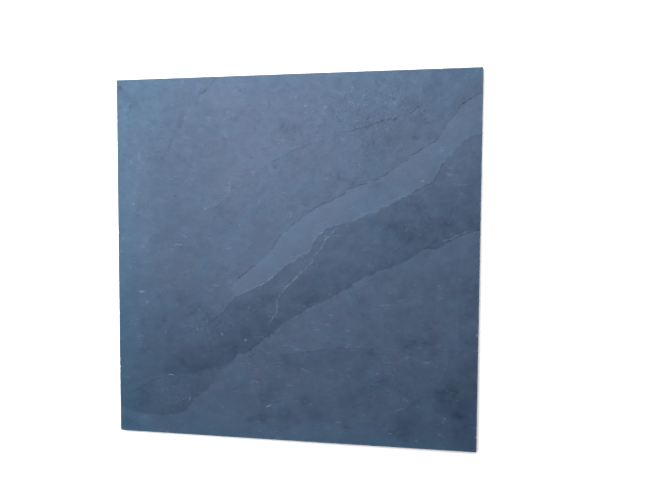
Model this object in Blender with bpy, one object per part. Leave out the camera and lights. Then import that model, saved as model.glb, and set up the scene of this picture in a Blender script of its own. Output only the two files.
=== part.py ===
"""Riven slate floor tile, 600 mm square, lying on its back with the riven face up.

Slate splits along its cleavage into thin leaves. Where a leaf ends on the face it leaves a low
ragged ledge, and the ground beyond it lies lower. The four edges are sawn, with the sharp arris
rubbed off, and the back is gauged flat, with shallow saw grooves that key the adhesive.

Metres, +Z up. The origin is the centre of the back. +X is the right of the face and +Y its top.
"""

import bmesh
import bpy
import numpy as np
from collections import namedtuple
from mathutils import Vector, geometry, noise

SIDE = 0.600
HALF = SIDE / 2
UPPER_LEAF = 0.0097  # from the back to the highest leaf of the face
ARRIS = 0.0008  # rubbed edge between the face and the sawn edges

GRAIN = 0.0118  # spacing of the points that carry the face's gentle waves
GRAIN_SCATTER = 0.36  # how far a point strays from its place, as a share of the spacing
LEDGE_PACE = 0.0075  # spacing of the points along a ledge
LEDGE_CLEARANCE = 0.0046  # bare ground that is kept free of other points along a ledge
RAGGED = 0.0013  # how far a ledge wanders off its line
LEDGE_SLOPE_RUN = 1.05  # width of a ledge's broken face, as a share of its height
LEDGE_MIN_RUN = 0.0005

LONG_WAVE = (0.00032, 0.165)  # height and length of the broad waves that cross the face
SHORT_WAVE = (0.00013, 0.040)
GRAIN_TILT = 0.62  # radians from +X to the run of the leaves
GRAIN_STRETCH = 2.2  # how much longer the waves are along the leaves than across them

GROOVE_PITCH = 0.025
GROOVE_WIDTH = 0.003
GROOVE_DEPTH = 0.0008
GROOVE_COUNT = 24

SLATE_COLOUR = (0.033, 0.055, 0.090, 1.0)
SLATE_ROUGHNESS = 0.50

# A ledge's line is walked with the low ground on the left hand. Its drop is the height of the
# broken leaf, its reach how far the low ground takes to climb back, and its fades the lengths
# over which the leaf thins out to nothing at the first and the last point.
Ledge = namedtuple("Ledge", "name line drop reach fade_in fade_out")

LEDGES = (
    Ledge(
        "band_upper_ledge",
        (
            (0.320, 0.264), (0.290, 0.259), (0.274, 0.247), (0.262, 0.238), (0.259, 0.228),
            (0.245, 0.214), (0.237, 0.197), (0.225, 0.185), (0.201, 0.172), (0.183, 0.158),
            (0.165, 0.146), (0.141, 0.130), (0.117, 0.123), (0.101, 0.118), (0.084, 0.106),
            (0.060, 0.094), (0.032, 0.080), (0.014, 0.066), (0.000, 0.055), (-0.018, 0.040),
            (-0.030, 0.018), (-0.048, 0.002), (-0.062, -0.010), (-0.079, -0.024),
            (-0.095, -0.036), (-0.101, -0.052), (-0.106, -0.068),
        ),
        0.00060, 0.26, 0.0, 0.030,
    ),
    Ledge(
        "band_lower_ledge",
        (
            (0.320, 0.201), (0.286, 0.197), (0.270, 0.187), (0.248, 0.161), (0.239, 0.146),
            (0.226, 0.125), (0.209, 0.119), (0.189, 0.104), (0.161, 0.091), (0.139, 0.080),
            (0.115, 0.072), (0.099, 0.063), (0.075, 0.058), (0.058, 0.049), (0.046, 0.043),
            (0.039, 0.030), (0.030, 0.012), (0.012, 0.003), (-0.010, -0.010),
            (-0.026, -0.024), (-0.042, -0.039), (-0.063, -0.047), (-0.080, -0.056),
            (-0.105, -0.070), (-0.115, -0.085), (-0.124, -0.094), (-0.150, -0.096),
            (-0.160, -0.112), (-0.164, -0.128),
        ),
        0.00040, 0.15, 0.0, 0.075,
    ),
    Ledge(
        "sliver_ledge",
        (
            (0.078, 0.056), (0.068, 0.044), (0.060, 0.036), (0.055, 0.026), (0.043, 0.009),
            (0.033, -0.006), (0.018, -0.020), (0.000, -0.039), (-0.016, -0.055),
            (-0.022, -0.066), (-0.023, -0.083), (-0.022, -0.099),
        ),
        0.00024, 0.05, 0.012, 0.030,
    ),
    Ledge(
        "main_ledge",
        (
            (0.320, 0.050), (0.286, 0.047), (0.270, 0.038), (0.252, 0.034), (0.238, 0.023),
            (0.211, 0.021), (0.203, 0.014), (0.181, -0.002), (0.159, -0.011), (0.141, -0.019),
            (0.119, -0.027), (0.101, -0.038), (0.087, -0.048), (0.069, -0.060),
            (0.050, -0.070), (0.028, -0.081), (0.012, -0.092), (-0.006, -0.101),
            (-0.024, -0.117), (-0.042, -0.130), (-0.066, -0.149), (-0.087, -0.159),
            (-0.097, -0.171), (-0.115, -0.183), (-0.141, -0.187), (-0.165, -0.199),
            (-0.181, -0.201), (-0.203, -0.198), (-0.232, -0.206), (-0.262, -0.223),
            (-0.290, -0.238), (-0.320, -0.246),
        ),
        0.00055, 0.28, 0.0, 0.150,
    ),
    Ledge(
        "corner_leaf_ledge",
        (
            (-0.118, -0.190), (-0.130, -0.208), (-0.147, -0.225), (-0.167, -0.238),
            (-0.172, -0.249), (-0.187, -0.262), (-0.217, -0.267), (-0.242, -0.269),
            (-0.272, -0.266), (-0.290, -0.259), (-0.320, -0.254),
        ),
        0.00030, 0.12, 0.020, 0.0,
    ),
    Ledge(
        "upper_flake_ledge",
        (
            (0.210, 0.246), (0.195, 0.236), (0.169, 0.227), (0.145, 0.222), (0.133, 0.218),
            (0.113, 0.210), (0.098, 0.207), (0.080, 0.205),
        ),
        0.00045, 0.045, 0.045, 0.035,
    ),
    Ledge(
        "upper_left_ledge",
        (
            (-0.121, 0.320), (-0.128, 0.297), (-0.141, 0.280), (-0.157, 0.265),
            (-0.173, 0.253), (-0.179, 0.241), (-0.181, 0.228), (-0.196, 0.213),
            (-0.203, 0.201),
        ),
        0.00026, 0.060, 0.0, 0.035,
    ),
    Ledge(
        "upper_crease",
        (
            (0.046, 0.199), (0.032, 0.187), (0.012, 0.180), (-0.003, 0.173),
            (-0.030, 0.160), (-0.048, 0.152),
        ),
        0.00018, 0.040, 0.016, 0.030,
    ),
    Ledge(
        "left_flake_ledge",
        (
            (-0.093, 0.128), (-0.104, 0.120), (-0.101, 0.106), (-0.112, 0.099),
            (-0.119, 0.094), (-0.127, 0.086), (-0.136, 0.072),
        ),
        0.00020, 0.035, 0.014, 0.018,
    ),
    Ledge(
        "lower_crease",
        (
            (0.130, -0.139), (0.095, -0.141), (0.060, -0.144), (0.030, -0.147),
            (0.000, -0.154), (-0.022, -0.160),
        ),
        0.00018, 0.080, 0.040, 0.030,
    ),
    Ledge(
        "right_crease",
        (
            (0.221, -0.212), (0.201, -0.225), (0.190, -0.233), (0.174, -0.241),
            (0.160, -0.246),
        ),
        0.00018, 0.040, 0.018, 0.018,
    ),
)


def waves(x, y):
    """Height of the gentle waves of the cleavage, longer along the leaves than across them."""
    along = x * np.cos(GRAIN_TILT) + y * np.sin(GRAIN_TILT)
    across = y * np.cos(GRAIN_TILT) - x * np.sin(GRAIN_TILT)
    height = 0.0
    for layer, (rise, length) in enumerate((LONG_WAVE, SHORT_WAVE)):
        place = Vector((along / (length * GRAIN_STRETCH), across / length, 3.7 * layer))
        height += rise * noise.noise(place)
    return height


def broken_line(ledge, seed):
    """The ledge's line with a point every pace, each moved a little off the line it is on."""
    corners = np.array(ledge.line)
    lengths = np.hypot(*np.diff(corners, axis=0).T)
    walked = np.append(0, np.cumsum(lengths))
    steps = max(2, round(walked[-1] / LEDGE_PACE))
    stops = np.linspace(0, walked[-1], steps + 1)
    line = np.column_stack([np.interp(stops, walked, corners[:, i]) for i in (0, 1)])
    headings = np.gradient(line, axis=0)
    headings /= np.hypot(*headings.T)[:, None]
    left = np.column_stack([-headings[:, 1], headings[:, 0]])
    wander = [noise.noise(Vector((s / LEDGE_PACE * 0.8, seed * 7.3, 1.9))) for s in stops]
    return line + left * (RAGGED * 1.6 * np.array(wander))[:, None], left


def drops_along(ledge, shares, length):
    """Height of the broken leaf at these shares of the ledge's length."""
    from_start, to_end = shares * length, (1 - shares) * length
    rise = np.ones_like(shares)
    if ledge.fade_in:
        rise = rise * np.clip(from_start / ledge.fade_in, 0, 1)
    if ledge.fade_out:
        rise = rise * np.clip(to_end / ledge.fade_out, 0, 1)
    uneven = 0.78 + 0.22 * np.sin(from_start / 0.031 + 5 * ledge.drop / 0.0003)
    return ledge.drop * uneven * rise * (2 - rise)


def runs_of(drops):
    """Width of the broken face below a leaf of these heights."""
    return np.maximum(drops * LEDGE_SLOPE_RUN, LEDGE_MIN_RUN)


def beside(line, points):
    """For each point, how far it lies to the left of the line, and its share of the line."""
    starts, spans = line[:-1], np.diff(line, axis=0)
    reached = points[:, None, :] - starts
    along = np.clip((reached * spans).sum(2) / (spans**2).sum(1), 0, 1)
    gaps = reached - along[..., None] * spans
    far = np.hypot(gaps[..., 0], gaps[..., 1])
    turned = spans[:, 0] * reached[..., 1] - spans[:, 1] * reached[..., 0]
    turned = turned / np.hypot(*spans.T)
    # At a corner two segments are equally near, and the one that is seen squarest on decides.
    nearest = np.argmin(far - 1e-6 * np.abs(turned), axis=1)
    rows = np.arange(len(points))
    side = np.where(turned[rows, nearest] < 0, -1.0, 1.0)
    shares = (nearest + along[rows, nearest]) / len(spans)
    return far[rows, nearest] * side, shares


def face_heights(points, lines):
    """Height of the riven face above the back at these points."""
    heights = UPPER_LEAF + np.array([waves(x, y) for x, y in points])
    for ledge, line in zip(LEDGES, lines):
        length = np.hypot(*np.diff(line, axis=0).T).sum()
        left, shares = beside(line, points)
        drops = drops_along(ledge, shares, length)
        fallen = np.clip(left / (0.6 * runs_of(drops)), 0, 1)
        heights -= drops * fallen * np.exp(-np.maximum(left, 0) / ledge.reach)
    return heights


def scattered_points(lines, inner):
    """Loose points over the face, with none close to a ledge or to the rim."""
    rng = np.random.default_rng(600)
    count = int(2 * inner / GRAIN)
    places = (np.arange(count) + 0.5) / count * 2 * inner - inner
    grid = np.stack(np.meshgrid(places, places), axis=-1).reshape(-1, 2)
    grid = grid + rng.uniform(-GRAIN_SCATTER, GRAIN_SCATTER, grid.shape) * GRAIN
    grid = grid[np.abs(grid).max(axis=1) < inner - LEDGE_CLEARANCE]
    for line in lines:
        grid = grid[np.abs(beside(line, grid)[0]) > LEDGE_CLEARANCE]
    return grid


def rim_points(inner):
    """Evenly spaced points round the face's square outline, corners first on each side."""
    count = int(2 * inner / GRAIN)
    steps = np.arange(count) / count * 2 * inner - inner
    edge = np.full(count, inner)
    sides = [(steps, -edge), (edge, steps), (-steps, edge), (-edge, -steps)]
    return np.concatenate([np.column_stack(side) for side in sides])


def riven_face():
    """A bmesh of the face: a triangulated sheet with the top and foot of each ledge as edges."""
    inner = HALF - ARRIS
    rim = rim_points(inner)
    points, edges, lines = [rim], [], []
    count = len(rim)
    for seed, ledge in enumerate(LEDGES):
        line, left = broken_line(ledge, seed)
        length = np.hypot(*np.diff(line, axis=0).T).sum()
        shares = np.linspace(0, 1, len(line))
        foot = line + left * runs_of(drops_along(ledge, shares, length))[:, None]
        for row in (line, foot):
            edges += [(count + i, count + i + 1) for i in range(len(row) - 1)]
            points.append(row)
            count += len(row)
        lines.append(line)
    points.append(scattered_points(lines, inner))
    flat = [Vector(point) for point in np.concatenate(points)]
    outline = [list(range(len(rim)))]
    inside_only = 1
    made = geometry.delaunay_2d_cdt(flat, edges, outline, inside_only, 1e-5)
    corners, triangles = np.array([tuple(v) for v in made[0]]), made[2]
    heights = face_heights(corners, lines)
    mesh = bmesh.new()
    verts = [mesh.verts.new((x, y, z)) for (x, y), z in zip(corners, heights)]
    for triangle in triangles:
        mesh.faces.new([verts[i] for i in triangle])
    strays = [vert for vert in mesh.verts if not vert.link_faces]
    bmesh.ops.delete(mesh, geom=strays, context="VERTS")
    return mesh


def extruded_rim(mesh):
    """Extrudes the sheet's open rim and returns the new corners."""
    rim = [edge for edge in mesh.edges if edge.is_boundary]
    made = bmesh.ops.extrude_edge_only(mesh, edges=rim)["geom"]
    return [item for item in made if isinstance(item, bmesh.types.BMVert)]


def close_the_slab(mesh):
    """Adds the rubbed arris, the four sawn edges and the back."""
    for vert in extruded_rim(mesh):
        for axis in (0, 1):
            if abs(vert.co[axis]) > HALF - 1.5 * ARRIS:
                vert.co[axis] = np.sign(vert.co[axis]) * HALF
        vert.co.z -= ARRIS
    for vert in extruded_rim(mesh):
        vert.co.z = 0.0
    back = [edge for edge in mesh.edges if edge.is_boundary]
    bmesh.ops.edgeloop_fill(mesh, edges=back)
    bmesh.ops.recalc_face_normals(mesh, faces=mesh.faces)


def as_object(mesh, name):
    """Links a bmesh into the scene as a named object."""
    data = bpy.data.meshes.new(name)
    mesh.to_mesh(data)
    mesh.free()
    made = bpy.data.objects.new(name, data)
    bpy.context.scene.collection.objects.link(made)
    return made


def groove_cutter():
    """One long wedge-sided bar for each saw groove, standing up into the back."""
    mesh = bmesh.new()
    over = 0.005
    for i in range(GROOVE_COUNT):
        place = (i - (GROOVE_COUNT - 1) / 2) * GROOVE_PITCH
        bar = bmesh.ops.create_cube(mesh, size=1.0)["verts"]
        for vert in bar:
            top = vert.co.z > 0
            width = GROOVE_WIDTH * (0.6 if top else 1.0)
            vert.co.x *= SIDE + 2 * over
            vert.co.y = place + np.sign(vert.co.y) * width / 2
            vert.co.z = GROOVE_DEPTH if top else -over
    cutter = as_object(mesh, "saw_groove_cutter")
    cutter.hide_render = True
    cutter.display_type = "WIRE"
    return cutter


def slate_material():
    """Blue-grey slate with a dull, slightly silky face."""
    material = bpy.data.materials.new("riven_slate")
    material.use_nodes = True
    shader = material.node_tree.nodes["Principled BSDF"]
    shader.inputs["Base Color"].default_value = SLATE_COLOUR
    shader.inputs["Roughness"].default_value = SLATE_ROUGHNESS
    shader.inputs["Metallic"].default_value = 0.0
    return material


def slate_tile():
    """The whole tile as one solid."""
    mesh = riven_face()
    close_the_slab(mesh)
    tile = as_object(mesh, "slate_tile")
    tile.data.materials.append(slate_material())
    grooves = tile.modifiers.new("saw_grooves", "BOOLEAN")
    grooves.operation = "DIFFERENCE"
    grooves.object = groove_cutter()
    return tile


for old in list(bpy.data.objects):
    bpy.data.objects.remove(old)

slate_tile()
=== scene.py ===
import math
from collections import namedtuple
from types import SimpleNamespace

import bmesh
import bpy
import numpy as np
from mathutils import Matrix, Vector, kdtree, noise


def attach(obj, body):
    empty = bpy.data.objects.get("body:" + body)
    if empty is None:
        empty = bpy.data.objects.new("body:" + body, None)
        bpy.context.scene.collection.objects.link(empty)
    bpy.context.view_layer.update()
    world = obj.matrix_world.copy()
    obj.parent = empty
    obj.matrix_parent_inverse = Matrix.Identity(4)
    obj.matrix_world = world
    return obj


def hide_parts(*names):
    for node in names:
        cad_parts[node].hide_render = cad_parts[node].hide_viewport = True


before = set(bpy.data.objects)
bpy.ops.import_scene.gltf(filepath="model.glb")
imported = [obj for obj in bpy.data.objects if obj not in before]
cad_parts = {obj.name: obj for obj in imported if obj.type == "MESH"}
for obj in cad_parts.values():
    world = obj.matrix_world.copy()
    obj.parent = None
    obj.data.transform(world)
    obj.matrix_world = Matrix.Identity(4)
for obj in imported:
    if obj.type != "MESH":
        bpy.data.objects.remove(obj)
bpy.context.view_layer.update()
print("frame loaded")


# The slate tile

slate = {
    "half": 0.300,
    "faceFrom": 0.006,  # all above this height is the riven face or its arris
    "arris": 0.0008,
    "pace": 0.0075,  # this and the next are part.py's, so that the same ledges are found here
    "ragged": 0.0013,
    "grainTilt": 0.62,
    # mesh: the longest edge on open ground, along a ledge or the rim, and along a pale chip
    "openMesh": 0.0047,
    "ledgeMesh": 0.0018,
    "ledgeBelt": 0.0028,
    "markMesh": 0.0010,
    "markBelt": 0.0021,
    # shape: how high or far, and over what length
    "relief": ((0.00020, 0.034), (0.00010, 0.012), (0.00004, 0.0055)),
    "reliefStretch": 1.9,
    "stray": ((0.0010, 0.012, 2.5), (0.00050, 0.0055, 3.0)),  # the ledges' lips; then how sudden
    "strayBelt": 0.007,
    "nibble": 0.0009,
    "nibbleLengths": (0.010, 0.0035),
    "chipDepth": 0.0009,
    # marks along a ledge, its dirt with painted shadow and its pale lip: how far to its low side
    # their middle lies, and their width
    "dirtAndShadow": (0.0004, 0.0018),
    "lip": (-0.0002, 0.0007),
    "wallBlur": 0.0003,
    "gaps": ((1.4, 0.014, 91.0), (0.9, 0.005, 93.0)),  # waves that break up the lines
    "gapLevels": (0.88, 0.1, 1.5),  # what they leave of a line: on average, least and most
    "blur": (0.0008, 0.03),  # width of the change of tone at a full ledge, and more as it fades
    # marks on open ground
    "bandWidth": 0.075,  # the widest that the calm, pale band gets
    "bandFade": (0.003, 0.02),  # how soon it begins at its ledges, and ends past that width
    "combedFrom": (0.004, 0.03),  # below the long lower ledge the grain is combed into streaks
    "stainStray": ((0.016, 0.022), (0.007, 0.008)),
    "strayFully": 18,  # half width in millimetres from which a stain's outline strays fully
    "evenFrom": 24,  # and from which a dark stain is an even shade
    "wornLength": 0.012,
    "cornerTint": (-255, 262, 62, 48, -35, 0.45),  # one more rim tint, as a row of stains
    "livelyAt": (-0.25, -0.12, 0.0, 0.11, 0.25),  # the grain is stronger towards the top
    "lively": (0.54, 0.68, 0.86, 1.17, 1.55),
}

# The ledges of part.py, walked with the low ground on the left hand: how deep each one drops, and
# over what lengths it comes and goes. low and high say how much lighter the ground is below and
# above, and how soon that goes, and lit how much lighter the broken wall is painted: partly fresh
# stone, partly painted light against the wall's own shading. shade is the line of dirt and painted
# shadow in it and lip the freshly broken edge: from, to along X in millimetres, and strength.
# The lower edge of the band and the long lower ledge fade out more slowly here than in part.py,
# because their tone does.
Ledge = namedtuple("Ledge", "line drop fadeIn fadeOut low high lit shade lip")

ledges = (
    Ledge(  # upper edge of the pale band
        (
            (0.320, 0.264), (0.290, 0.259), (0.274, 0.247), (0.262, 0.238), (0.259, 0.228),
            (0.245, 0.214), (0.237, 0.197), (0.225, 0.185), (0.201, 0.172), (0.183, 0.158),
            (0.165, 0.146), (0.141, 0.130), (0.117, 0.123), (0.101, 0.118), (0.084, 0.106),
            (0.060, 0.094), (0.032, 0.080), (0.014, 0.066), (0.000, 0.055), (-0.018, 0.040),
            (-0.030, 0.018), (-0.048, 0.002), (-0.062, -0.010), (-0.079, -0.024), (-0.095, -0.036),
            (-0.101, -0.052), (-0.106, -0.068),
        ),
        0.00060, 0.0, 0.030, (0.25, 0.085), (0.03, 0.10), 0.45,
        (
            (262, 300, 0.28), (216, 250, 0.08), (196, 216, 0.12), (184, 196, 0.32),
            (100, 165, 0.10), (70, 92, 0.12), (-10, 70, 0.22), (-26, -10, 0.10), (-34, -26, 0.28),
            (-92, -56, 0.20),
        ),
        (),
    ),
    Ledge(  # lower edge of the pale band
        (
            (0.320, 0.201), (0.286, 0.197), (0.270, 0.187), (0.248, 0.161), (0.239, 0.146),
            (0.226, 0.125), (0.209, 0.119), (0.189, 0.104), (0.161, 0.091), (0.139, 0.080),
            (0.115, 0.072), (0.099, 0.063), (0.075, 0.058), (0.058, 0.049), (0.046, 0.043),
            (0.039, 0.030), (0.030, 0.012), (0.012, 0.003), (-0.010, -0.010), (-0.026, -0.024),
            (-0.042, -0.039), (-0.063, -0.047), (-0.080, -0.056), (-0.105, -0.070),
            (-0.115, -0.085), (-0.124, -0.094), (-0.150, -0.096), (-0.160, -0.112),
            (-0.164, -0.128),
        ),
        0.00040, 0.0, 0.110, (-0.12, 0.045), (0.22, 0.060), 0.48,
        ((215, 245, 0.12), (160, 205, 0.08), (-70, 0, 0.14)),
        (
            (268, 300, 0.20), (180, 210, 0.14), (70, 180, 0.24), (46, 56, 0.70), (24, 46, 0.38),
            (-20, 15, 0.38), (-40, -20, 0.66), (-52, -40, 0.90), (-78, -52, 0.62),
            (-165, -112, 0.22),
        ),
    ),
    Ledge(  # hairline that leaves the band
        (
            (0.078, 0.056), (0.068, 0.044), (0.060, 0.036), (0.055, 0.026), (0.043, 0.009),
            (0.033, -0.006), (0.018, -0.020), (0.000, -0.039), (-0.016, -0.055), (-0.022, -0.066),
            (-0.023, -0.083), (-0.022, -0.099),
        ),
        0.00024, 0.012, 0.030, (-0.03, 0.05), (0.07, 0.05), 0.30,
        (),
        ((40, 80, 0.55), (22, 40, 0.32), (-14, 22, 0.66), (-30, -14, 0.34)),
    ),
    Ledge(  # the long lower ledge
        (
            (0.320, 0.050), (0.286, 0.047), (0.270, 0.038), (0.252, 0.034), (0.238, 0.023),
            (0.211, 0.021), (0.203, 0.014), (0.181, -0.002), (0.159, -0.011), (0.141, -0.019),
            (0.119, -0.027), (0.101, -0.038), (0.087, -0.048), (0.069, -0.060), (0.050, -0.070),
            (0.028, -0.081), (0.012, -0.092), (-0.006, -0.101), (-0.024, -0.117), (-0.042, -0.130),
            (-0.066, -0.149), (-0.087, -0.159), (-0.097, -0.171), (-0.115, -0.183),
            (-0.141, -0.187), (-0.165, -0.199), (-0.181, -0.201), (-0.203, -0.198),
            (-0.232, -0.206), (-0.262, -0.223), (-0.290, -0.238), (-0.320, -0.246),
        ),
        0.00055, 0.0, 0.300, (0.02, 0.06), (-0.30, 0.095), 0.36,
        (
            (205, 255, 0.38), (92, 103, 0.25), (12, 26, 0.14), (-55, -22, 0.28),
            (-82, -55, 0.16), (-120, -100, 0.12),
        ),
        ((262, 300, 0.32), (130, 170, 0.16), (-20, 40, 0.26)),
    ),
    Ledge(  # leaf in the lower left corner
        (
            (-0.118, -0.190), (-0.130, -0.208), (-0.147, -0.225), (-0.167, -0.238),
            (-0.172, -0.249), (-0.187, -0.262), (-0.217, -0.267), (-0.242, -0.269),
            (-0.272, -0.266), (-0.290, -0.259), (-0.320, -0.254),
        ),
        0.00030, 0.020, 0.0, (0.01, 0.05), (-0.20, 0.070), 0.15,
        ((-272, -178, 0.10),),
        ((-165, -125, 0.05),),
    ),
    Ledge(  # flake near the top
        (
            (0.210, 0.246), (0.195, 0.236), (0.169, 0.227), (0.145, 0.222), (0.133, 0.218),
            (0.113, 0.210), (0.098, 0.207), (0.080, 0.205),
        ),
        0.00045, 0.045, 0.035, (-0.12, 0.050), (-0.06, 0.020), 0.40,
        ((152, 172, 0.80), (116, 152, 0.32)),
        ((115, 170, 0.12),),
    ),
    Ledge(  # crack in the upper left
        (
            (-0.121, 0.320), (-0.128, 0.297), (-0.141, 0.280), (-0.157, 0.265), (-0.173, 0.253),
            (-0.179, 0.241), (-0.181, 0.228), (-0.196, 0.213), (-0.203, 0.201),
        ),
        0.00026, 0.0, 0.035, (0.13, 0.007), (-0.03, 0.030), 0.45,
        ((-152, -122, 0.24),),
        ((-205, -162, 0.18), (-152, -128, 0.12)),
    ),
    Ledge(  # short ledge left of the flake
        (
            (0.046, 0.199), (0.032, 0.187), (0.012, 0.180), (-0.003, 0.173), (-0.030, 0.160),
            (-0.048, 0.152),
        ),
        0.00018, 0.016, 0.030, (-0.05, 0.030), (0.0, 0.03), 0.35,
        (),
        ((34, 50, 0.15),),
    ),
    Ledge(  # short ledge left of the band
        (
            (-0.093, 0.128), (-0.104, 0.120), (-0.101, 0.106), (-0.112, 0.099), (-0.119, 0.094),
            (-0.127, 0.086), (-0.136, 0.072),
        ),
        0.00020, 0.014, 0.018, (-0.08, 0.025), (0.08, 0.025), 0.40,
        (),
        ((-112, -98, 0.10),),
    ),
    Ledge(  # short ledge below the middle
        (
            (0.130, -0.139), (0.095, -0.141), (0.060, -0.144), (0.030, -0.147), (0.000, -0.154),
            (-0.022, -0.160),
        ),
        0.00018, 0.040, 0.030, (-0.10, 0.035), (0.05, 0.030), 0.15,
        ((112, 130, 0.12),),
        ((0, 70, 0.08),),
    ),
    Ledge(  # short ledge in the lower right
        (
            (0.221, -0.212), (0.201, -0.225), (0.190, -0.233), (0.174, -0.241), (0.160, -0.246),
        ),
        0.00018, 0.018, 0.018, (-0.07, 0.050), (0.0, 0.03), 0.25,
        ((195, 220, 0.12),),
        ((160, 192, 0.20),),
    ),
)
bandUpper, bandLower, longLower = 0, 1, 3  # where three of them are in the list

# Stains, worn spots and wide patches: x, y, half length, half width in millimetres, turn in degrees,
# strength.
# Above 0 the ground is paler. Below 0 it is a patchy stain, or an even shade if it is wide.
stains = (
    (-277, 267, 34, 7, -45, -0.20), (-93, 232, 8, 6, 0, -0.22), (-3, 215, 13, 8, -30, -0.20),
    (-43, 217, 6, 4, 0, -0.15), (-237, 207, 15, 12, 0, -0.11), (-230, 177, 10, 12, 0, -0.12),
    (133, 183, 14, 16, 20, -0.15), (137, 120, 15, 9, 0, -0.22), (83, 137, 6, 14, 0, -0.13),
    (27, 153, 30, 18, 20, -0.11), (193, 253, 18, 7, 15, -0.14), (213, 233, 10, 10, 0, -0.13),
    (-190, 80, 32, 24, 0, -0.07), (-107, 77, 24, 14, 20, -0.09), (-167, -87, 14, 11, 0, -0.20),
    (-190, -73, 18, 12, -15, -0.12), (-53, -67, 26, 17, 5, -0.13), (33, -60, 19, 9, 20, -0.14),
    (-133, -150, 32, 9, 0, -0.17), (-200, -210, 14, 12, 0, -0.17), (-257, -240, 20, 18, 0, -0.14),
    (-287, -282, 18, 14, 0, -0.22), (130, -143, 14, 11, -20, -0.28), (207, -127, 27, 12, 12, -0.30),
    (253, -210, 14, 20, -20, -0.22), (183, -273, 12, 22, 0, -0.16), (-53, -267, 19, 7, 5, -0.19),
    (-13, -253, 13, 12, 0, -0.13), (33, -247, 15, 26, 0, -0.13), (127, -213, 44, 22, 15, -0.10),
    (190, 47, 36, 14, -12, -0.15), (193, -40, 22, 16, 0, -0.12), (107, -67, 20, 13, 0, -0.11),
    (0, -167, 46, 11, 0, -0.10), (-250, -153, 13, 12, 0, -0.11), (273, -243, 12, 5, 0, -0.17),
    (-40, -227, 9, 18, -20, -0.12), (-287, 213, 9, 20, 0, 0.13), (-260, 170, 4, 24, 0, 0.20),
    (-110, 270, 36, 20, 0, 0.10), (-220, 140, 19, 14, 0, 0.08), (-267, 27, 24, 28, 0, 0.10),
    (-100, 20, 34, 26, 0, 0.12), (-213, -153, 20, 18, 0, 0.09), (-93, -183, 21, 15, 0, 0.12),
    (47, 247, 13, 12, 0, 0.10), (280, 20, 14, 34, 0, 0.12), (93, 7, 32, 10, 0, 0.12),
    (0, -220, 24, 9, 10, 0.10), (13, -280, 20, 12, 0, 0.13), (73, -280, 16, 12, 0, 0.11),
    (-113, -107, 24, 11, 25, 0.10), (33, -127, 38, 14, 15, 0.07), (220, -240, 17, 13, 0, 0.12),
    (287, -100, 8, 14, 0, 0.12), (93, 140, 5, 24, 10, 0.12),
    # along the crack in the upper left: the dark spots are painted shadow on its shaded wall, the
    # pale ones a painted highlight on its lit wall
    (-128, 296, 3, 9, -18, -0.28), (-146, 274, 3, 10, -42, -0.28), (-160, 262, 3, 7, -50, -0.24),
    (-136, 274, 2, 16, -45, 0.14), (-162, 252, 2, 16, -40, 0.10), (-191, 218, 9, 6, 40, -0.18),
    (-207, 196, 2, 13, -24, -0.20), (-216, 170, 2, 8, -10, -0.28),
    (-58, 215, 3, 9, 8, -0.26), (-94, 233, 4, 4, 0, -0.26), (-94, 233, 10, 2, 0, -0.18),
    (2, 209, 3, 9, 25, -0.26), (-12, 213, 7, 6, 0, -0.16),
    (35, 254, 6, 5, 0, -0.20), (124, 194, 3, 3, 0, -0.24), (107, 154, 2, 6, -35, -0.26),
    (81, 135, 3, 9, 0, -0.18), (98, 121, 7, 4, 0, -0.16), (133, 116, 9, 5, 0, -0.14),
    (197, 195, 7, 4, 20, -0.20), (200, 243, 5, 4, 0, -0.22), (180, 258, 4, 3, 0, -0.18),
    (131, -141, 7, 5, -20, -0.22), (209, -124, 16, 6, 10, -0.16), (250, -201, 4, 6, -20, -0.22),
    (136, -202, 6, 3, 0, -0.18), (103, -227, 5, 6, 0, -0.16), (153, -265, 4, 3, 0, -0.18),
    (282, -123, 3, 3, 0, -0.20), (-237, 210, 8, 6, 0, -0.12), (-159, 189, 7, 3, -25, -0.16),
    (-71, 122, 2, 5, -20, -0.18), (-180, 133, 3, 8, -30, -0.14), (-173, 164, 12, 2, 12, -0.16),
    (-266, 79, 5, 7, 0, -0.12), (-110, 90, 6, 5, 0, -0.14), (-184, -176, 7, 7, 0, -0.14),
    (-98, -150, 9, 5, 15, -0.18), (-47, -234, 2, 5, -10, -0.22), (-27, -217, 9, 2, 8, -0.16),
    (-58, -267, 8, 4, 0, -0.18), (-125, -185, 6, 2, 30, -0.16), (-156, -80, 2, 6, 0, -0.20),
    (-212, 60, 30, 170, 0, -0.06), (295, -150, 28, 60, 0, -0.07), (-262, 170, 2, 14, 4, 0.20),
    (286, 188, 10, 8, 0, 0.10),
    # wide patches that shift the tone broadly; those at x 295 make the face darker towards the right
    # edge and the lower right corner
    (-180, 170, 75, 55, 0, -0.13), (295, -240, 45, 75, 0, -0.28), (295, -60, 22, 60, 0, -0.08),
    (-210, 235, 130, 75, 0, -0.085), (-150, 40, 42, 140, 0, -0.06), (228, -240, 52, 60, 0, -0.09),
    (295, 0, 26, 90, 0, -0.05),
    (60, -207, 48, 24, 0, 0.10), (-268, -165, 26, 40, 0, 0.10), (-120, -266, 50, 26, 0, 0.07),
)

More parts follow.
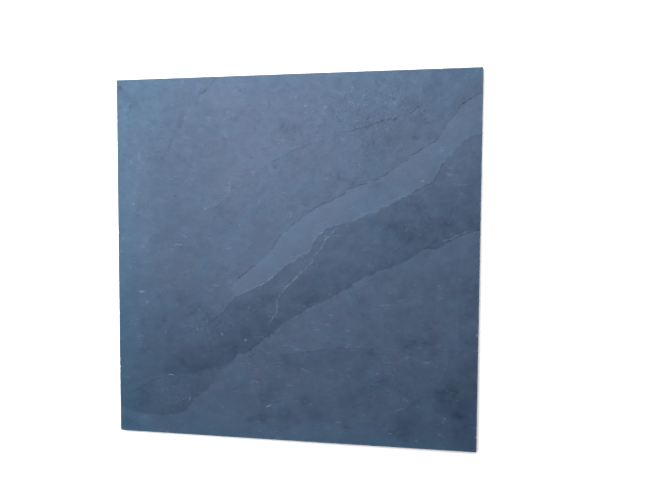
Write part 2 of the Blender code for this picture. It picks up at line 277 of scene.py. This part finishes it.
# Pale chips and scratches: x, y, half length, half width in millimetres, turn, strength
flecks = (
    (-36, -243, 4.3, 0.9, 25, 0.80), (-205, -198, 5, 0.7, 0, 0.76), (-76, -134, 2.9, 1.2, 40, 0.47),
    (-257, -57, 5.8, 1.3, 0, 0.57), (-216, -125, 1, 2.2, 0, 0.28), (-160, -118, 1.2, 2.9, 8, 0.33),
    (-117, -125, 1.2, 2.9, -12, 0.33), (-272, 92, 2.9, 1.3, 0, 0.38), (-275, 162, 1.2, 2.2, 0, 0.38),
    (-159, 19, 2.2, 1.2, 30, 0.28), (-144, 84, 2.9, 1.1, 10, 0.47), (-52, 95, 2.9, 1, 60, 0.33),
    (43, 196, 2.9, 1.3, 50, 0.43), (24, 248, 2.2, 1.3, 0, 0.47), (56, 245, 3.6, 1.1, 30, 0.38),
    (165, 249, 2.2, 1.2, 0, 0.38), (211, 127, 2.2, 1.3, 0, 0.47), (165, -278, 2.9, 0.9, 0, 0.30),
    (206, -287, 2.9, 1, 0, 0.27), (242, -275, 5.8, 0.7, -18, 0.25), (156, -70, 11, 0.7, 5, 0.24),
    (267, -98, 0.8, 14, 2, 0.11), (271, 121, 9, 0.7, 2, 0.30), (8, 262, 3.6, 0.7, 70, 0.47),
    (-30, -97, 0.8, 9, -30, 0.33), (265, 41, 21, 0.7, 22, 0.27), (180, 102, 27, 0.7, 16, 0.28),
    (54, 247, 2.2, 1.3, 0, 0.28), (117, 262, 2.9, 1, 30, 0.28), (99, 275, 2.2, 1, -20, 0.33),
    (154, 208, 2.9, 1.2, -30, 0.24), (204, 255, 1, 2.9, 0, 0.27), (136, 257, 2.2, 0.9, 0, 0.24),
    (240, 174, 2.9, 0.9, -20, 0.28), (180, -62, 5, 0.7, 12, 0.19), (209, -136, 2.9, 0.9, 0, 0.24),
    (189, -154, 5.8, 0.7, 10, 0.17), (26, -232, 2.2, 0.9, 0, 0.28), (-213, 272, 1, 3.6, -15, 0.15),
    (-184, 196, 2.2, 1.3, 0, 0.13), (-171, 123, 1.4, 1.3, 0, 0.17), (-102, 126, 1.2, 2.9, -30, 0.15),
    (-62, 255, 1.4, 1.3, 0, 0.21), (-174, -238, 1, 4.3, 10, 0.28), (-156, -86, 1, 4.3, 5, 0.21),
    (-133, -97, 3.6, 1, 10, 0.19),
)

# Ground with many small crumbs broken out: x, y, half length, half width, turn, strength
crumbledGround = (
    (125, 240, 95, 42, 12, 1.0), (20, 205, 70, 26, 30, 0.7), (-125, -110, 62, 24, -5, 0.8),
    (-60, -150, 34, 22, 35, 0.8), (215, 60, 60, 30, 20, 0.5), (-190, -225, 40, 28, 20, 0.6),
    (120, 160, 60, 30, 30, 0.5), (-110, 110, 50, 36, 30, 0.5), (150, -190, 90, 50, 10, 0.45),
)

# Chips knocked out of the rim: x, y and radius in millimetres
chips = (
    (300, -113, 3.2), (300, -276, 3.0), (300, 92, 2.2), (300, 205, 1.8), (279, -300, 2.4),
    (118, -300, 2.8), (-36, -300, 1.8), (-214, -300, 3.0), (-300, -188, 2.6), (-300, 44, 3.2),
    (-300, 232, 2.0), (-142, 300, 2.4), (61, 300, 3.0), (236, 300, 2.0), (300, 300, 2.6),
    (-300, -300, 3.4),
)

# Blue-green tint along the rim: axis, side, strength and how far in it reaches
rimTints = ((0, -1, 0.88, 0.045), (1, 1, 0.55, 0.024), (1, -1, 0.50, 0.020))


def brokenLine(ledge, seed):
    # the same steps as in part.py
    corners = np.array(ledge.line)
    lengths = np.hypot(*np.diff(corners, axis=0).T)
    walked = np.append(0, np.cumsum(lengths))
    steps = max(2, round(walked[-1] / slate["pace"]))
    stops = np.linspace(0, walked[-1], steps + 1)
    line = np.column_stack([np.interp(stops, walked, corners[:, i]) for i in (0, 1)])
    headings = np.gradient(line, axis=0)
    headings /= np.hypot(*headings.T)[:, None]
    left = np.column_stack([-headings[:, 1], headings[:, 0]])
    astray = [noise.noise(Vector((s / slate["pace"] * 0.8, seed * 7.3, 1.9))) for s in stops]
    return line + left * (slate["ragged"] * 1.6 * np.array(astray))[:, None]


def treeOf(points):
    tree = kdtree.KDTree(len(points))
    for i, point in enumerate(points):
        tree.insert((*point, 0), i)
    tree.balance()
    return tree


def beside(line, points):
    # how far each point lies to the left of the line, and its share of the line
    tree = treeOf(line)
    corner = np.array([tree.find((x, y, 0))[1] for x, y in points])
    spans = np.diff(line, axis=0)
    best = np.full(len(points), 9.0)
    left, shares = best.copy(), best.copy()
    for step in (-2, -1, 0, 1):
        segment = np.clip(corner + step, 0, len(spans) - 1)
        span = spans[segment]
        reached = points - line[segment]
        length = np.hypot(*span.T)
        along = np.clip((reached * span).sum(1) / length**2, 0, 1)
        far = np.hypot(*(reached - along[:, None] * span).T)
        turned = (span[:, 0] * reached[:, 1] - span[:, 1] * reached[:, 0]) / length
        score = far - 1e-6 * np.abs(turned)
        better = score < best
        best[better] = score[better]
        left[better] = (far * np.where(turned < 0, -1.0, 1.0))[better]
        shares[better] = ((segment + along) / len(spans))[better]
    return left, shares


def lengthOf(line):
    return np.hypot(*np.diff(line, axis=0).T).sum()


def strengthAlong(ledge, shares, length):
    rise = np.ones_like(shares)
    if ledge.fadeIn:
        rise = rise * np.clip(shares * length / ledge.fadeIn, 0, 1)
    if ledge.fadeOut:
        rise = rise * np.clip((1 - shares) * length / ledge.fadeOut, 0, 1)
    return rise * (2 - rise)


lines = [brokenLine(ledge, seed) for seed, ledge in enumerate(ledges)]


def closePoints(line):
    # the line again, with a point every millimetre
    stops = np.linspace(0, len(line) - 1, int(lengthOf(line) / 0.001))
    return np.column_stack([np.interp(stops, range(len(line)), line[:, i]) for i in (0, 1)])


def refine(corners, triangles):
    # halves long edges of the riven face again and again, finest along the ledges and the rim
    ledgeTree = treeOf(np.concatenate([closePoints(line) for line in lines]))
    marks = []
    for x, y, halfLength, halfWidth, turn, _ in flecks:
        reach = np.linspace(-1, 1, 9)[:, None] * max(halfLength, halfWidth)
        turn = math.radians(turn + (90 if halfWidth > halfLength else 0))
        marks.append((np.array((x, y)) + reach * (math.cos(turn), math.sin(turn))) / 1000)
    markTree = treeOf(np.concatenate(marks))
    for _ in range(8):
        sides = np.concatenate([triangles[:, (0, 1)], triangles[:, (1, 2)], triangles[:, (2, 0)]])
        edges, back = np.unique(np.sort(sides, axis=1), axis=0, return_inverse=True)
        first, last = corners[edges[:, 0]], corners[edges[:, 1]]
        middles = (first + last) / 2
        lengths = np.linalg.norm(first - last, axis=1)
        onTop = np.minimum(first[:, 2], last[:, 2]) > slate["faceFrom"]
        halved = np.flatnonzero((lengths > slate["markMesh"]) & onTop)
        allowed = [allowedLength(x, y, ledgeTree, markTree) for x, y, _ in middles[halved]]
        halved = halved[lengths[halved] > allowed]
        if not len(halved):
            break
        number = np.full(len(edges), -1)
        number[halved] = len(corners) + np.arange(len(halved))
        corners = np.concatenate([corners, middles[halved]])
        triangles = split(corners, triangles, number[back.ravel()].reshape(3, -1).T)
    print("slate refined:", len(triangles), "faces")
    return corners, triangles


def allowedLength(x, y, ledgeTree, markTree):
    if markTree.find((x, y, 0))[2] < slate["markBelt"]:
        return slate["markMesh"]
    inward = slate["half"] - max(abs(x), abs(y))
    near = min(inward * 1.5, ledgeTree.find((x, y, 0))[2])
    share = min(1, max(0, near / slate["ledgeBelt"] - 1))
    return slate["ledgeMesh"] + (slate["openMesh"] - slate["ledgeMesh"]) * share


def split(corners, triangles, middles):
    # middles holds the new corner on each triangle's three edges, or -1 where there is none
    counts = (middles >= 0).sum(axis=1)
    made = [triangles[counts == 0]]
    for turn in range(3):
        a, b, c = np.roll(triangles, -turn, axis=1).T
        ab, bc, ca = np.roll(middles, -turn, axis=1).T
        one = (counts == 1) & (ab >= 0)
        made += [np.column_stack(row)[one] for row in ((a, ab, c), (ab, b, c))]
        two = (counts == 2) & (ca < 0)
        made.append(np.column_stack((ab, b, bc))[two])
        toC = np.linalg.norm(corners[ab] - corners[c], axis=1)
        toA = np.linalg.norm(corners[bc] - corners[a], axis=1)
        for rows, chosen in (
            (((a, ab, c), (ab, bc, c)), two & (toC <= toA)),
            (((a, ab, bc), (a, bc, c)), two & (toC > toA)),
        ):
            made += [np.column_stack(row)[chosen] for row in rows]
        if turn == 0:
            three = counts == 3
            rows = ((a, ab, ca), (ab, b, bc), (ca, bc, c), (ab, bc, ca))
            made += [np.column_stack(row)[three] for row in rows]
    return np.concatenate(made)


def wander(x, y, length, seed):
    return noise.noise(Vector((x / length, y / length, seed)))


def wavesOver(flat, layers):
    # one value for each point, from layers of strength, wave length and seed
    total = np.zeros(len(flat))
    for strength, length, seed in layers:
        total += strength * np.array([wander(x, y, length, seed) for x, y in flat])
    return total


def bell(away, width):
    return np.exp(-((away / width) ** 2))


def stretchesOf(stretches, x):
    # strength at x of a line that is only drawn in stretches, with soft ends 6 mm long
    drawn = np.zeros(len(x))
    for first, last, strength in stretches:
        inside = np.minimum(x * 1000 - first, last - x * 1000) / 6 + 0.5
        drawn = np.maximum(drawn, strength * np.clip(inside, 0, 1))
    return drawn


def inSpot(points, spot):
    x, y, halfLength, halfWidth, turn, _ = spot
    away = points * 1000 - (x, y)
    cosine, sine = math.cos(math.radians(turn)), math.sin(math.radians(turn))
    along = (away[:, 0] * cosine + away[:, 1] * sine) / halfLength
    across = (away[:, 1] * cosine - away[:, 0] * sine) / halfWidth
    return np.exp(-((along**2 + across**2) ** 1.6))


def ledgeFields(flat):
    # tone of the ground beside each ledge, its dirt and painted shadow, its pale lip and its wall
    # made paler, partly with painted light
    tone, shade, pale, broken = (np.zeros(len(flat)) for _ in range(4))
    lefts = []
    average, least, most = slate["gapLevels"]
    gaps = np.clip(average + wavesOver(flat, slate["gaps"]), least, most)
    sharp, faded = slate["blur"]
    for ledge, line in zip(ledges, lines):
        left, shares = beside(line, flat)
        strength = strengthAlong(ledge, shares, lengthOf(line))
        soft = sharp + faded * (1 - strength)
        below, above = np.clip(left / soft, 0, 1), np.clip(-left / soft, 0, 1)
        tone += ledge.low[0] * strength * below * np.exp(-np.abs(left) / ledge.low[1])
        tone += ledge.high[0] * strength * above * np.exp(-np.abs(left) / ledge.high[1])
        drawn = stretchesOf(ledge.shade, flat[:, 0])
        # painted shadow along the ledge, with its dirt, as a dark line
        dirtAndShadow = bell(left - slate["dirtAndShadow"][0], slate["dirtAndShadow"][1])
        shade = np.maximum(shade, strength * dirtAndShadow * gaps * drawn)
        lip = bell(left - slate["lip"][0], slate["lip"][1]) * stretchesOf(ledge.lip, flat[:, 0])
        pale = np.maximum(pale, strength * lip * (0.6 + 0.4 * gaps))
        # the broken wall is made paler, partly as fresh stone and partly as painted light against
        # its own shading, most where no shadow line is drawn
        foot = ledge.drop * strength
        wall = bell(left - foot * 0.5, foot * 0.7 + slate["wallBlur"])
        lighterWhereUndrawn = 1.55 - 0.35 * gaps - 0.3 * np.clip(drawn / 0.12, 0, 1)
        broken = np.maximum(broken, strength * wall * ledge.lit * lighterWhereUndrawn)
        lefts.append(left)
    return {"tone": tone, "shade": shade, "pale": pale, "broken": broken}, lefts


def bandAt(lefts):
    # 1 on the pale band, which lies below its upper ledge and above its lower one
    start, end = slate["bandFade"]
    calm = np.ones(len(lefts[bandUpper]))
    for inward in (lefts[bandUpper], -lefts[bandLower]):
        calm *= np.clip(inward / start, 0, 1) * np.clip((slate["bandWidth"] - inward) / end, 0, 1)
    return calm


def addMarks(fields, flat, drift):
    # stains and worn spots, chips and scratches, and crumbled ground
    fields["stain"], fields["crumbs"] = np.zeros(len(flat)), np.zeros(len(flat))
    for spot in stains:
        spread = inSpot(flat + drift * min(1.0, (spot[3] + 2) / slate["strayFully"]), spot)
        if spot[5] > 0 or spot[3] >= slate["evenFrom"]:
            fields["tone"] += spot[5] * spread
        else:
            fields["stain"] = np.maximum(fields["stain"], -spot[5] * spread)
    for spot in flecks:
        fields["pale"] = np.maximum(fields["pale"], spot[5] * inSpot(flat, spot))
    for spot in crumbledGround:
        spread = inSpot(flat + drift * 1.5, spot)
        fields["crumbs"] = np.maximum(fields["crumbs"], spot[5] * spread)


def rimAt(flat, drift):
    rim = np.zeros(len(flat))
    for axis, side, strength, reach in rimTints:
        away = np.abs(slate["half"] * side - flat[:, axis] - drift[:, axis])
        rim += strength * np.exp(-away / reach)
    rim += slate["cornerTint"][5] * inSpot(flat + drift, slate["cornerTint"])
    return np.clip(rim, 0, 1)


def bittenAt(flat):
    # how deep the chips in the rim are
    bitten = np.zeros(len(flat))
    for x, y, radius in chips:
        away = np.hypot(flat[:, 0] * 1000 - x, flat[:, 1] * 1000 - y)
        bitten = np.maximum(bitten, np.clip(1.15 - away / radius, 0, 1) * radius / 3)
    return bitten


def reshape(mesh, places, bitten, nearest):
    # fine relief of the cleavage, stray lips and nibbled arris
    half, arris = slate["half"], slate["arris"] * 1.5
    cosine, sine = math.cos(slate["grainTilt"]), math.sin(slate["grainTilt"])
    belt = bell(nearest, slate["strayBelt"])
    coarse, fine = slate["nibbleLengths"]
    for i, vert in enumerate(mesh.verts):
        x, y, height = places[i]
        if height < slate["faceFrom"]:
            continue
        inward = half - max(abs(x), abs(y))
        onFace = inward > 1e-5
        if onFace:
            along = (x * cosine + y * sine) / slate["reliefStretch"]
            across = y * cosine - x * sine
            for layer, (rise, length) in enumerate(slate["relief"]):
                vert.co.z += rise * wander(along, across, length, 11.0 + layer)
            inner = min(1.0, max(0.0, inward - 0.002) / 0.006) * belt[i]
            if inner > 0.01:
                for stray, length, snap in slate["stray"]:
                    vert.co.x += stray * inner * math.tanh(snap * wander(x, y, length, 31.0))
                    vert.co.y += stray * inner * math.tanh(snap * wander(x, y, length, 47.0))
        if inward < arris:
            bite = wander(x, y, coarse, 61.0) + 0.6 * wander(x, y, fine, 67.0)
            bite = slate["nibble"] * (max(0.0, bite - 0.15) + 1.1 * bitten[i])
            if onFace:
                for axis, place in enumerate((x, y)):
                    if half - abs(place) < arris:
                        vert.co[axis] -= math.copysign(bite, place)
            else:
                vert.co.z -= bite
        if bitten[i] and onFace:
            vert.co.z -= slate["chipDepth"] * bitten[i] * (1 + wander(x, y, 0.003, 5.0))


def sortFaces(mesh):
    # 0 is the riven face and the arris, 1 the sawn edges and 2 the gauged back
    mesh.normal_update()
    for face in mesh.faces:
        face.smooth = True
        middle = face.calc_center_median()
        upright = abs(face.normal.z) < 0.3
        if middle.z < 0.002 and abs(face.normal.z) > 0.5:
            face.material_index = 2
        elif upright and max(abs(middle.x), abs(middle.y)) > slate["half"] - 0.004:
            face.material_index = 1


def refinedSolid():
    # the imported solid's own mesh, refined, and the places of its points
    mesh = bmesh.new()
    mesh.from_mesh(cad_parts["slate_tile"].data)
    bmesh.ops.remove_doubles(mesh, verts=mesh.verts, dist=1e-6)
    mesh.verts.index_update()
    corners = np.array([vert.co for vert in mesh.verts])
    triangles = np.array([[vert.index for vert in face.verts] for face in mesh.faces])
    places, triangles = refine(corners, triangles)
    mesh.clear()
    verts = [mesh.verts.new(place) for place in places]
    for corner in triangles:
        mesh.faces.new([verts[i] for i in corner])
    return mesh, places


def markedFields(flat, bitten):
    # what the material reads at each point, and how far the nearest ledge is
    fields, lefts = ledgeFields(flat)
    drift = np.column_stack([
        wavesOver(flat, [(stray, length, seed) for stray, length in slate["stainStray"]])
        for seed in (71.0, 83.0)
    ])
    addMarks(fields, flat, drift)
    fields["calm"] = bandAt(lefts)
    start, length = slate["combedFrom"]
    fields["combed"] = np.clip((lefts[longLower] - start) / length, 0, 1)
    fields["lively"] = np.interp(flat[:, 1] + drift[:, 1], slate["livelyAt"], slate["lively"])
    fields["rim"] = rimAt(flat, drift)
    # the arris is paler all round: wear, and partly a painted highlight where the arris catches the
    # light
    wornArrisAndHighlight = np.clip(0.25 + wavesOver(flat, ((0.6, slate["wornLength"], 29.0),)), 0, 1)
    wornArrisAndHighlight *= slate["half"] - np.abs(flat).max(axis=1) < slate["arris"] * 1.5
    paleMarks = 0.6 * np.clip(bitten * 3, 0, 1)
    fields["pale"] = np.maximum.reduce([fields["pale"], wornArrisAndHighlight, paleMarks])
    return fields, np.abs(lefts).min(axis=0)


def buildSlate():
    mesh, places = refinedSolid()
    flat = places[:, :2].copy()
    bitten = bittenAt(flat)
    fields, nearest = markedFields(flat, bitten)
    print("slate marked:", len(fields), "fields")
    reshape(mesh, places, bitten, nearest)
    sortFaces(mesh)
    data = bpy.data.meshes.new("rivenSlate")
    mesh.to_mesh(data)
    mesh.free()
    for name, values in fields.items():
        data.attributes.new(name, "FLOAT", "POINT").data.foreach_set("value", values)
    data.set_sharp_from_angle(angle=math.radians(32))
    piece = bpy.data.objects.new("rivenSlate", data)
    bpy.context.scene.collection.objects.link(piece)
    return piece


# Shader nodes

class Wire:
    # an output socket; a sum or product of it adds a Math node
    def __init__(self, finish, socket):
        self.finish, self.socket = finish, socket

    def combine(self, operation, first, second):
        return self.finish.node("Math", {"operation": operation}, {0: first, 1: second})

    def __add__(self, other):
        return self.combine("ADD", self, other)

    def __radd__(self, other):
        return self.combine("ADD", other, self)

    def __sub__(self, other):
        return self.combine("SUBTRACT", self, other)

    def __rsub__(self, other):
        return self.combine("SUBTRACT", other, self)

    def __mul__(self, other):
        return self.combine("MULTIPLY", self, other)

    def __rmul__(self, other):
        return self.combine("MULTIPLY", other, self)


class Finish:
    def __init__(self, name):
        self.material = bpy.data.materials.new(name)
        self.material.use_nodes = True
        self.tree = self.material.node_tree
        self.shader = self.tree.nodes["Principled BSDF"]
        self.place = self.node("TexCoord", output="Object")

    def feed(self, socket, value):
        if isinstance(value, Wire):
            self.tree.links.new(value.socket, socket)
        else:
            socket.default_value = value

    def node(self, kind, settings=None, sockets=None, output=0):
        made = self.tree.nodes.new("ShaderNode" + kind)
        for name, value in (settings or {}).items():
            setattr(made, name, value)
        for name, value in (sockets or {}).items():
            self.feed(made.inputs[name], value)
        return Wire(self, made.outputs[output])

    def set(self, **sockets):
        for name, value in sockets.items():
            self.feed(self.shader.inputs[name.replace("_", " ")], value)

    def grain(self, scale, detail, rough, stretch=(1, 1, 1), turn=0.0, shift=0.0, warp=0.0):
        placed = self.node(
            "Mapping",
            {"vector_type": "POINT"},
            {"Vector": self.place, "Location": (shift, shift * 0.7, shift * 0.3),
             "Rotation": (0, 0, -turn), "Scale": stretch},
        )
        return self.node(
            "TexNoise", {},
            {"Vector": placed, "Scale": scale, "Detail": detail, "Roughness": rough,
             "Distortion": warp},
        )

    def between(self, value, low, high):
        return self.node(
            "MapRange", {"interpolation_type": "SMOOTHSTEP"},
            {"Value": value, "From Min": low, "From Max": high},
        )

    def mix(self, share, first, second):
        # sockets 6 and 7 and output 2 are the ones for colours
        return self.node("Mix", {"data_type": "RGBA"}, {0: share, 6: first, 7: second}, output=2)

    def brighten(self, colour, amount):
        return self.node("VectorMath", {"operation": "SCALE"}, {0: colour, "Scale": amount})

    def lighten(self, colour, amount, tint):
        # adds this share of the colour, more of it where the tint is high
        share = self.node("VectorMath", {"operation": "MULTIPLY"}, {0: colour, 1: tint})
        return self.node(
            "VectorMath", {"operation": "ADD"}, {0: colour, 1: self.brighten(share, amount)}
        )

    def bump(self, height):
        return self.node("Bump", {}, {"Height": height, "Distance": 1.0, "Strength": 1.0})


slateFinish = {
    "blue": (0.0290, 0.0473, 0.0792, 1),
    "violet": (0.0316, 0.0464, 0.0772, 1),
    "green": (0.0292, 0.0485, 0.0742, 1),
    "rim": (0.0245, 0.0582, 0.0960, 1),
    # green-grey of the stains, also laid into the painted shadow along the ledges
    "stainAndShadowGreen": (0.0302, 0.0490, 0.0650, 1),
    "pale": (0.15, 0.18, 0.22, 1),
    "tint": (1.15, 1.0, 0.86),  # how much of any lightening each colour takes
    "roughness": 0.49,
    "specular": 0.5,
    "specularTint": (0.38, 0.46, 0.65, 1),
    # how much each layer of the grain lightens or darkens the face
    "tone": {
        "broad": 0.25, "blotch": 0.44, "cell": 0.42, "crease": 0.9, "speck": 0.06,
        "streaks": 0.03, "combed": 0.09, "wisps": 0.04, "scratch": 0.52, "pits": 0.38,
        "crumb": 1.2,
    },
    # and how far it stands out, in metres
    "height": {
        "speck": 0.00005, "fine": 0.00002, "blotch": 0.00026, "cell": 0.00010,
        "streaks": 0.00003, "wisps": 0.00004, "pits": 0.00010,
    },
}


def slateLayers(f):
    # the layers of noise that the riven face's tone, colour and relief are made of
    patch = f.grain(55.0, 2.0, 0.5, shift=6.1)
    gate = f.between(patch, 0.42, 0.62)
    blotch = f.grain(38.0, 3.0, 0.6, shift=3.1)
    streak = f.grain(170.0, 2.0, 0.6, stretch=(0.32, 1, 1), turn=0.12, shift=1.7, warp=1.2)
    wisp = f.grain(130.0, 2.0, 0.6, stretch=(0.50, 1, 1), turn=1.05, shift=7.9, warp=1.6)
    crease = f.grain(40.0, 1.0, 0.5, shift=6.7, warp=1.3)
    crease = f.node("Math", {"operation": "ABSOLUTE"}, {0: crease - 0.5})
    scratch = f.grain(110.0, 1.0, 0.5, stretch=(0.6, 2.0, 1), turn=0.85, shift=4.3, warp=1.2)
    crumb = f.grain(300.0, 1.0, 0.5, shift=8.8, warp=0.8)
    pits = f.grain(180.0, 2.0, 0.6, shift=2.9, warp=1.0)
    return SimpleNamespace(
        patch=patch, gate=gate, blotch=blotch, streak=streak, wisp=wisp,
        broad=f.grain(7.0, 2.0, 0.5, stretch=(0.6, 1, 1), turn=slate["grainTilt"]),
        cell=f.grain(66.0, 2.0, 0.5, shift=4.9, warp=0.7),
        speck=f.grain(240.0, 2.0, 0.6, shift=5.3),
        fine=f.grain(700.0, 2.0, 0.6, shift=1.3),
        hue=f.grain(9.0, 2.0, 0.5, shift=9.7),
        tinge=f.grain(24.0, 1.0, 0.4, shift=8.3),
        crease=1.0 - f.between(crease, 0.004, 0.022),
        scratch=f.between(scratch, 0.66, 0.74) * f.between(blotch, 0.42, 0.60),
        crumb=f.between(crumb, 0.63, 0.70) * 0.42 - f.between(crumb, 0.38, 0.31) * 0.30,
        pits=f.between(pits, 0.67, 0.73) * f.between(patch, 0.40, 0.58),
        streaks=(f.between(streak, 0.61, 0.71) - f.between(streak, 0.40, 0.29)) * (0.35 + gate),
        wisps=(f.between(wisp, 0.62, 0.72) - f.between(wisp, 0.39, 0.28)) * (1.35 - gate),
    )


def slateLight(f, grown, marked):
    # how much lighter or darker each place is than the plain stone, painted shadow and painted light
    # at the ledges included
    tone = slateFinish["tone"]
    cell = grown.cell - 0.5
    clouds = (
        (grown.broad - 0.5) * tone["broad"] + (grown.blotch - 0.5) * tone["blotch"]
        + cell * tone["cell"] + grown.crease * grown.gate * cell * tone["crease"]
    )
    marks = (
        (grown.speck - 0.5) * tone["speck"]
        + grown.streaks * (tone["streaks"] + marked.combed * tone["combed"])
        + grown.wisps * tone["wisps"] + grown.scratch * tone["scratch"]
        - grown.pits * tone["pits"] + grown.crumb * marked.crumbs * tone["crumb"]
    )
    grain = clouds * marked.lively + marks
    light = (
        marked.tone + grain * (1.0 - marked.calm * 0.45)
        # broken walls made paler: fresh stone, partly painted light against their own shading
        + marked.broken * (0.4 + 0.8 * f.between(grown.blotch, 0.35, 0.6))
    )
    ragged = f.between(grown.wisp + grown.streak - grown.blotch, 0.35, 0.62)
    light = light - marked.stain * (0.55 + 0.8 * ragged)
    # painted shadow, with dirt, along the ledges
    return light - marked.shade * (0.25 + 1.3 * f.between(grown.speck, 0.38, 0.62))


def slateMaterial():
    f = Finish("rivenSlate")
    grown = slateLayers(f)
    names = "tone stain shade pale broken rim calm crumbs combed lively".split()
    marked = SimpleNamespace(**{
        name: f.node("Attribute", {"attribute_name": name}, output="Fac") for name in names
    })
    light = slateLight(f, grown, marked)
    colour = f.mix(f.between(grown.hue, 0.34, 0.66), slateFinish["blue"], slateFinish["violet"])
    colour = f.mix(f.between(grown.tinge, 0.48, 0.72) * 0.36, colour, slateFinish["rim"])
    colour = f.mix(f.between(grown.patch, 0.56, 0.30) * 0.7, colour, slateFinish["green"])
    # greener in the stains and in the painted shadow along the ledges
    colour = f.mix(marked.stain * 1.1 + marked.shade, colour, slateFinish["stainAndShadowGreen"])
    colour = f.mix(marked.rim, colour, slateFinish["rim"])
    colour = f.lighten(colour, light, slateFinish["tint"])
    # pale chips, lips and scratches, and the arris's wear with its painted highlight
    paleMarks = marked.pale * f.between(grown.speck, 0.27, 0.54)
    colour = f.mix(paleMarks, colour, slateFinish["pale"])
    high = slateFinish["height"]
    height = (
        grown.speck * high["speck"] + grown.fine * high["fine"] + grown.blotch * high["blotch"]
        + grown.cell * high["cell"] + grown.streaks * high["streaks"]
        + grown.wisps * high["wisps"] - grown.pits * high["pits"]
    )
    roughness = slateFinish["roughness"] + (grown.blotch - 0.5) * 0.16 + marked.pale * 0.25
    normal = f.bump(height * (0.4 + 0.6 * marked.lively))
    f.set(Base_Color=colour, Roughness=roughness, Normal=normal)
    f.shader.inputs["Specular IOR Level"].default_value = slateFinish["specular"]
    f.shader.inputs["Specular Tint"].default_value = slateFinish["specularTint"]
    return f.material


sawnFinishes = {
    "sawnEdge": {"stretch": (9, 9, 1500), "lightness": 1.25},
    "gaugedBack": {"stretch": (6, 900, 6), "lightness": 1.35},
}


def sawnMaterial(name, stretch, lightness):
    # saw marks or the leaves of the stone seen end on, closely and widely spaced
    f = Finish(name)
    wide = tuple(side / 4 for side in stretch)
    close = f.grain(1.0, 2.0, 0.6, stretch=stretch)
    leaves = f.grain(1.0, 1.0, 0.5, stretch=wide, shift=0.4)
    mottle = f.grain(60.0, 3.0, 0.6, shift=2.2)
    speck = f.grain(420.0, 1.0, 0.5, shift=4.1)
    colour = f.mix(f.between(mottle, 0.35, 0.65) * 0.6, slateFinish["blue"], slateFinish["rim"])
    marks = f.between(close, 0.58, 0.70)
    light = (
        lightness - 1.0 + (mottle - 0.5) * 0.5 + (close - 0.5) * 0.7 + (leaves - 0.5) * 0.5
        + (speck - 0.5) * 0.4 + marks * 0.25
    )
    colour = f.lighten(colour, light, slateFinish["tint"])
    height = close * 0.00008 + mottle * 0.00006 + speck * 0.00004
    f.set(Base_Color=colour, Roughness=0.68 + (mottle - 0.5) * 0.2, Normal=f.bump(height))
    return f.material


piece = buildSlate()
piece.data.materials.append(slateMaterial())
for name, values in sawnFinishes.items():
    piece.data.materials.append(sawnMaterial(name, **values))
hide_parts("slate_tile")
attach(piece, "root")
print("slate tile made")


# Floor, lights and camera

studio = {
    "floorSize": 12.0,
    "floorColour": (0.86, 0.87, 0.88, 1),
    "worldColour": (1.0, 1.0, 1.0, 1),
    "worldStrength": 0.3,
    "key": {"place": (-0.47, 0.76, 1.4), "size": (2.0, 1.2), "watts": 77.5},
    "cameraPlace": (0.1636, 0.0478, 0.7536),
    "cameraTurn": (-2.274, 7.127, 0.365),
    "lens": 25.14,
}


def buildFloor():
    mesh = bmesh.new()
    bmesh.ops.create_grid(mesh, x_segments=1, y_segments=1, size=studio["floorSize"] / 2)
    bmesh.ops.translate(mesh, verts=mesh.verts, vec=(0, 0, -0.0003))
    data = bpy.data.meshes.new("floor")
    mesh.to_mesh(data)
    mesh.free()
    floor = bpy.data.objects.new("floor", data)
    bpy.context.scene.collection.objects.link(floor)
    f = Finish("paleFloor")
    f.shader.inputs["Base Color"].default_value = studio["floorColour"]
    f.shader.inputs["Roughness"].default_value = 0.9
    data.materials.append(f.material)


def areaLight(name, place, size, watts):
    data = bpy.data.lights.new(name, "AREA")
    data.shape = "RECTANGLE"
    data.size, data.size_y = size
    data.energy = watts
    light = bpy.data.objects.new(name, data)
    light.location = place
    light.rotation_euler = (-Vector(place)).to_track_quat("-Z", "Y").to_euler()
    bpy.context.scene.collection.objects.link(light)


def placeCamera():
    data = bpy.data.cameras.new("camera")
    data.lens = studio["lens"]
    data.sensor_width = 36.0
    data.clip_start, data.clip_end = 0.01, 50
    camera = bpy.data.objects.new("camera", data)
    camera.location = studio["cameraPlace"]
    camera.rotation_euler = [math.radians(turn) for turn in studio["cameraTurn"]]
    bpy.context.scene.collection.objects.link(camera)
    bpy.context.scene.camera = camera


buildFloor()
areaLight("key", **studio["key"])
world = bpy.data.worlds.new("studio")
world.use_nodes = True
world.node_tree.nodes["Background"].inputs["Color"].default_value = studio["worldColour"]
world.node_tree.nodes["Background"].inputs["Strength"].default_value = studio["worldStrength"]
bpy.context.scene.world = world
placeCamera()
view = bpy.context.scene.view_settings
view.view_transform = "Standard"
view.look = "None"
print("studio set")
